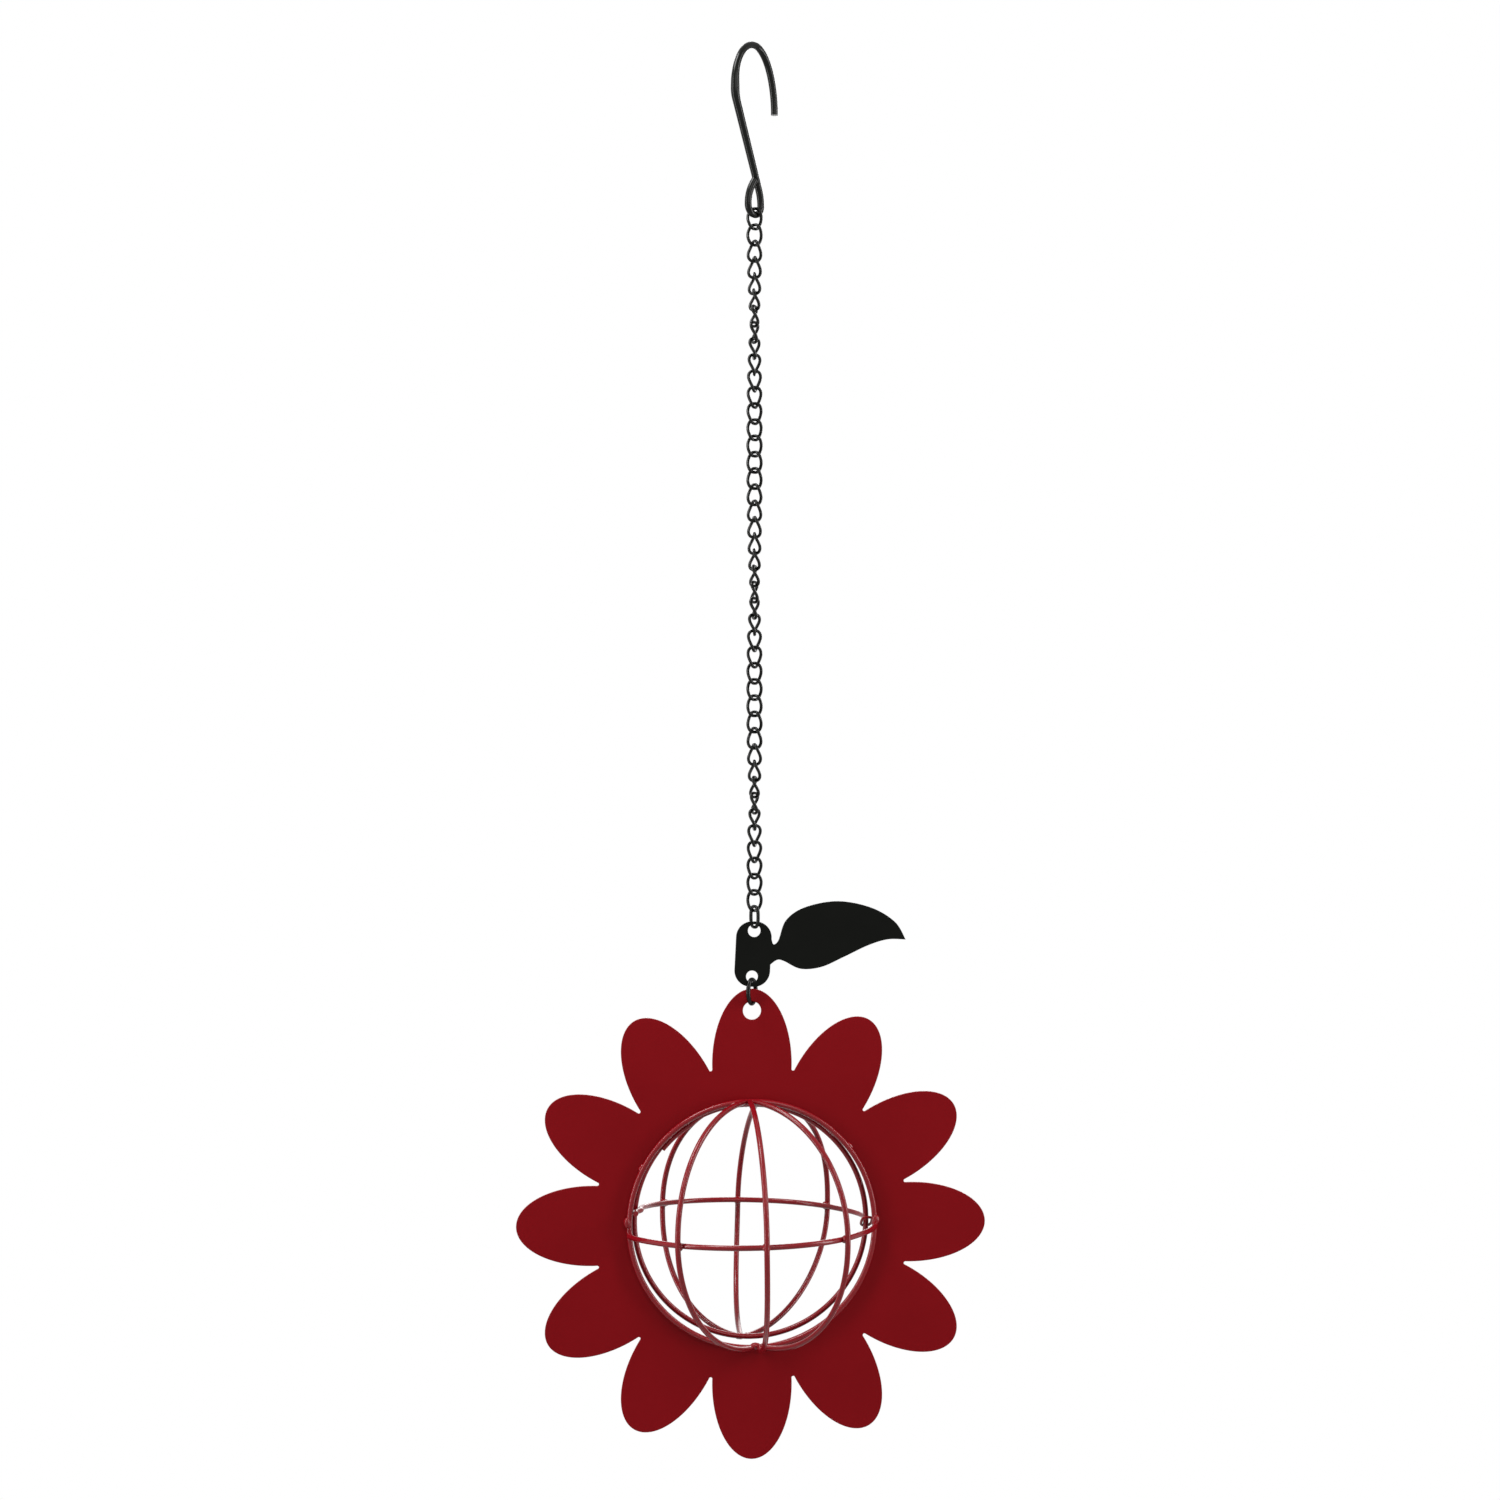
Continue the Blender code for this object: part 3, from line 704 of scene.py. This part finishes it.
# Heading in degrees, distance out, distance forward and size of each weld on
# the ring
ring_welds = []
for heading, out, forward, size in [
    (178.3, 0.0451, 0.0004, 0.0013), (1.6, 0.0448, 0.0004, 0.0013), (152.5, 0.0451, -0.0004, 0.0010),
    (38.4, 0.0450, -0.0004, 0.0010), (98.5, 0.0440, 0.0008, 0.0009), (94.1, 0.0440, 0.0010, 0.0010),
    (-88.5, 0.0437, 0.0009, 0.0013), (-85.0, 0.0440, 0.0007, 0.0011), (89.0, 0.0440, 0.0008, 0.0011),
]:
    angle = math.radians(heading)
    place = (out * math.cos(angle), -forward, out * math.sin(angle))
    ring_welds.append(weld(place, size, angle, RING_WELD_STRETCH))
fuse(front_pieces["front_ring"], ring_welds)
for node, piece in front_pieces.items():
    settle(piece, front)
    piece.data.materials.append(wire_coat)
    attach(piece, "flower")
    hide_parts(node)

# Back half of the cage. A slightly smaller ring with its own ribs and bar,
# which opens like a door about its right-hand side. The left end of its bar
# is turned forward through the flower's hole and springs against the front
# ring as a catch.
BACK_RADIUS = 0.0423
BACK_RING_BEHIND = 0.0090
BACK_SIDE = 1
CATCH_RISE = 0.0045
CATCH_REACH = 0.0005
CATCH_BEND = 0.0060
RIB_END_WELD = 0.0012
LAP_START = math.radians(114)
LAP_SWEEP = math.radians(26.6)
LAP_STEPS = 20
LAP_RAMP_STEPS = 7
LAP_INWARD = 0.0007
LAP_FORWARD = 0.0016
back_centre = front + Vector((0.0, BACK_RING_BEHIND, 0.0))
bar = crossbar(BACK_RADIUS, BACK_SIDE, left_rise=CATCH_RISE, right_rise=0.0004, right_side_only=True)
catch_x = -(FRONT_RADIUS - CAGE_WIRE - GAP)
catch_corners = [
    (catch_x, -BACK_RING_BEHIND - CATCH_REACH, CATCH_RISE), (catch_x, -CATCH_BEND, CATCH_RISE),
    (bar[0][0], -CAGE_WIRE, CATCH_RISE), bar[0],
]
catch = smooth(catch_corners, steps=8)
# Azimuth in degrees, and the sideways steps of the rib's top and bottom ends
back_ribs = {}
for node, azimuth, top_step, bottom_step in [
    ("back_rib_left", -46.8, -0.0012, -0.0037), ("back_rib_centre", -2.2, 0.0038, -0.0034),
    ("back_rib_right", 47.5, 0.0054, -0.0022),
]:
    back_ribs[node] = rib(BACK_RADIUS, BACK_SIDE, math.radians(azimuth), top_step, bottom_step)
back_pieces = {
    "back_ring": bend_wire("back_ring_wire", wire_ring(BACK_RADIUS, count=160), CAGE_WIRE, closed=True),
    "back_rib_left": bend_wire("back_left_wire", back_ribs["back_rib_left"], CAGE_WIRE),
    "back_rib_centre": bend_wire("back_centre_wire", back_ribs["back_rib_centre"], CAGE_WIRE),
    "back_rib_right": bend_wire("back_right_wire", back_ribs["back_rib_right"], CAGE_WIRE),
    "back_crossbar": bend_wire("back_level_wire", catch[:-1] + bar, CAGE_WIRE),
}
for node, route in back_ribs.items():
    welds = [weld(meeting(route, bar), CROSSING_WELD)]
    welds += [weld(end, RIB_END_WELD) for end in (route[0], route[-1])]
    fuse(back_pieces[node], welds)
# The ring's wire ends overlap at its upper left, the free end in front
lap = []
for step in range(LAP_STEPS + 1):
    angle = LAP_START + LAP_SWEEP * step / LAP_STEPS
    ramp = min(1.0, step / LAP_RAMP_STEPS)
    away = ramp * ramp * (3 - 2 * ramp)
    out = BACK_RADIUS - LAP_INWARD * away
    lap.append((out * math.cos(angle), -LAP_FORWARD * away, out * math.sin(angle)))
fuse(back_pieces["back_ring"], [bend_wire("back_ring_lap", lap, CAGE_WIRE)])
for node, piece in back_pieces.items():
    settle(piece, back_centre)
    piece.data.materials.append(wire_coat)
    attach(piece, "back_half")
    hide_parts(node)

# Hinge loop. A small closed loop of 1 mm wire behind the flower, which holds
# the back ring loosely at its right-hand side. It sits in the flower's shade
# and has the sheet's duller coat.
LOOP_WIRE = 0.0010
LOOP_PLAY = 0.00035
LOOP_ROUNDNESS = 3.0
LOOP_SLOPE = math.radians(29)
loop_low, loop_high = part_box("hinge_loop")
loop_middle = (Vector(loop_low) + Vector(loop_high)) / 2
loop_across = CAGE_WIRE / 2 + LOOP_PLAY + LOOP_WIRE / 2
loop_along = (loop_high[1] - loop_low[1] - LOOP_WIRE) / 2
loop_oval = oval(loop_across, loop_along, LOOP_ROUNDNESS, count=64)
route = [(x, y, -y * math.tan(LOOP_SLOPE)) for x, y in loop_oval]
loop = bend_wire("hinge_loop_bent", route, LOOP_WIRE, closed=True)
settle(loop, loop_middle)
loop.data.materials.append(red_coat)
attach(loop, "flower")
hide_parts("hinge_loop")
